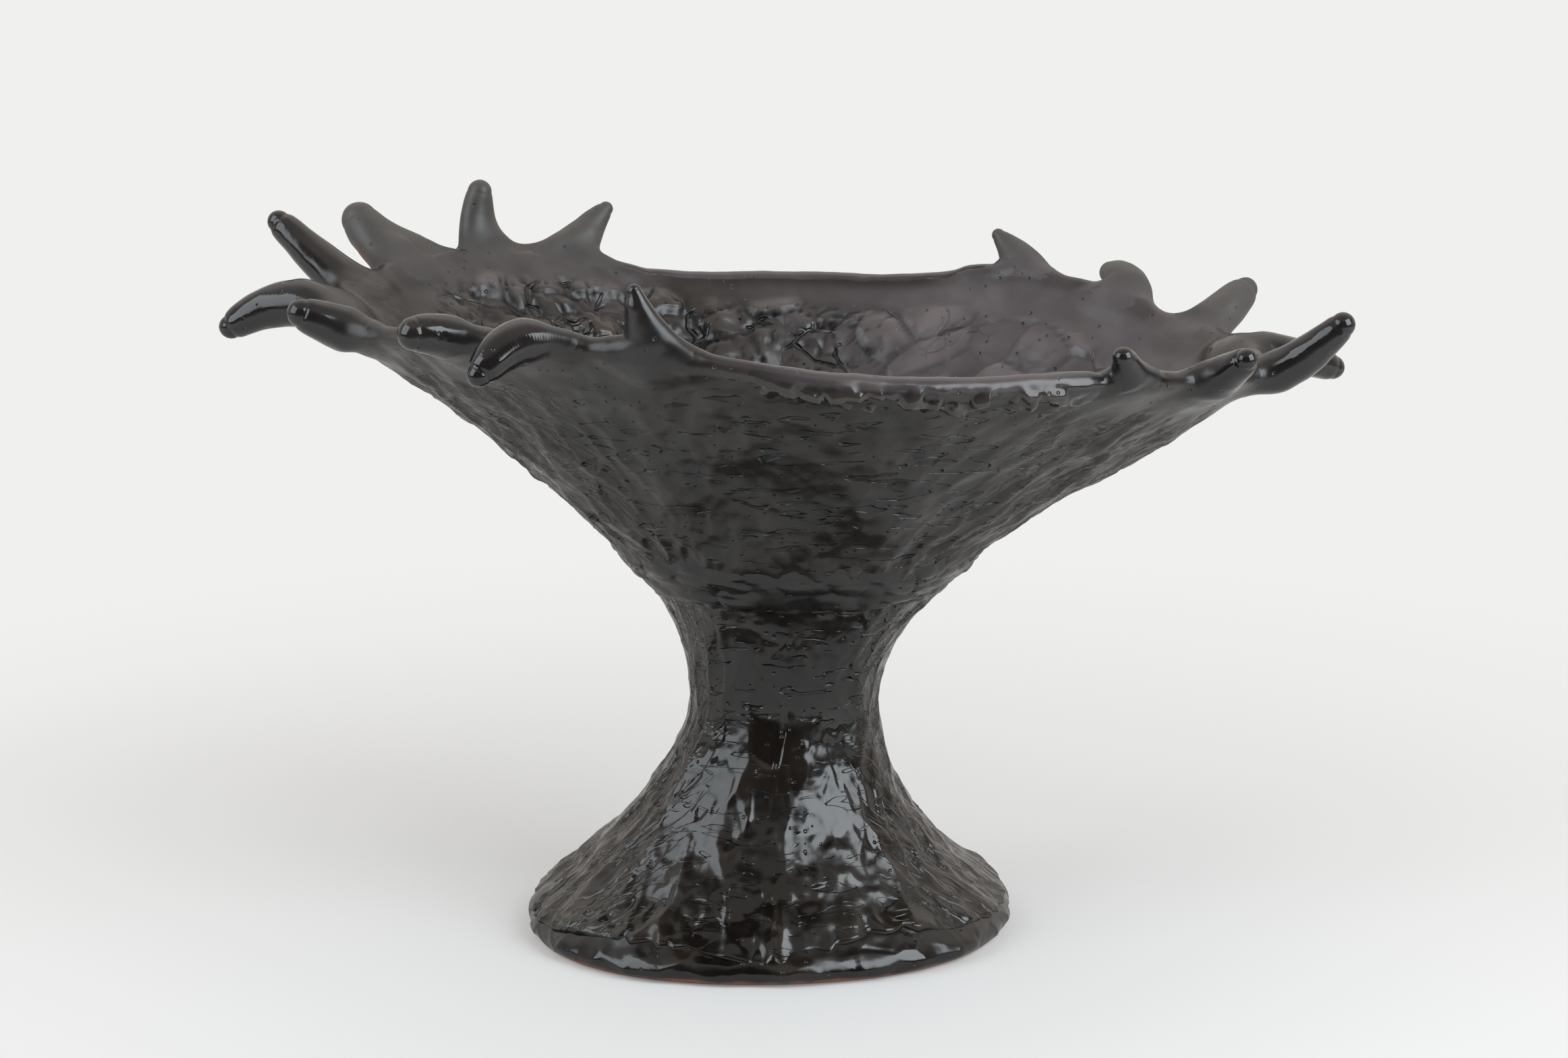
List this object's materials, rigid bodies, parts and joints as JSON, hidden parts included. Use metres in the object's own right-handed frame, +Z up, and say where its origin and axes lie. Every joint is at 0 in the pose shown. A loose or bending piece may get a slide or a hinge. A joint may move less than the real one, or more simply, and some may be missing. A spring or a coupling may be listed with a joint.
{
  "type": "footed bowl",
  "caption": "Black-glazed stoneware footed bowl: oval boat-shaped bowl with horns along both ends of its rim, on a pinched neck and a flared hollow pedestal.",
  "frame": {"origin": "middle of the whole bowl's length and depth, at the height of the foot's resting edge", "axes": "X along the bowl's length towards its lower end with seven horns, Y from the front to the back, Z up"},
  "size_m": [0.4746, 0.2777, 0.3054],
  "materials": {
    "bowl_glaze": "glossy near-black stoneware glaze over finger-smeared clay",
    "pedestal_glaze": "glossy near-black stoneware glaze over finger-smeared clay",
    "foot_glaze": "near-black glaze thinning to bare brown clay at the resting edge",
    "seam_glaze": "rough pressed luting coil under near-black glaze",
    "horn_glaze": "smooth, very glossy near-black glaze"
  },
  "bodies": {
    "root": {"bowl": "bowl_glaze", "pedestal": "pedestal_glaze", "foot_ring": "foot_glaze", "neck_collar": "seam_glaze", "rim_coil_front": "pedestal_glaze", "rim_coil_back": "pedestal_glaze", "horn_01": "horn_glaze", "horn_02": "horn_glaze", "horn_03": "horn_glaze", "horn_04": "horn_glaze", "horn_05": "horn_glaze", "horn_06": "horn_glaze", "horn_07": "horn_glaze", "horn_08": "horn_glaze", "horn_09": "horn_glaze", "horn_10": "horn_glaze", "horn_11": "horn_glaze", "horn_12": "horn_glaze", "horn_13": "horn_glaze", "horn_14": "horn_glaze", "horn_15": "horn_glaze", "horn_16": "horn_glaze"}
  },
  "joints": []
}
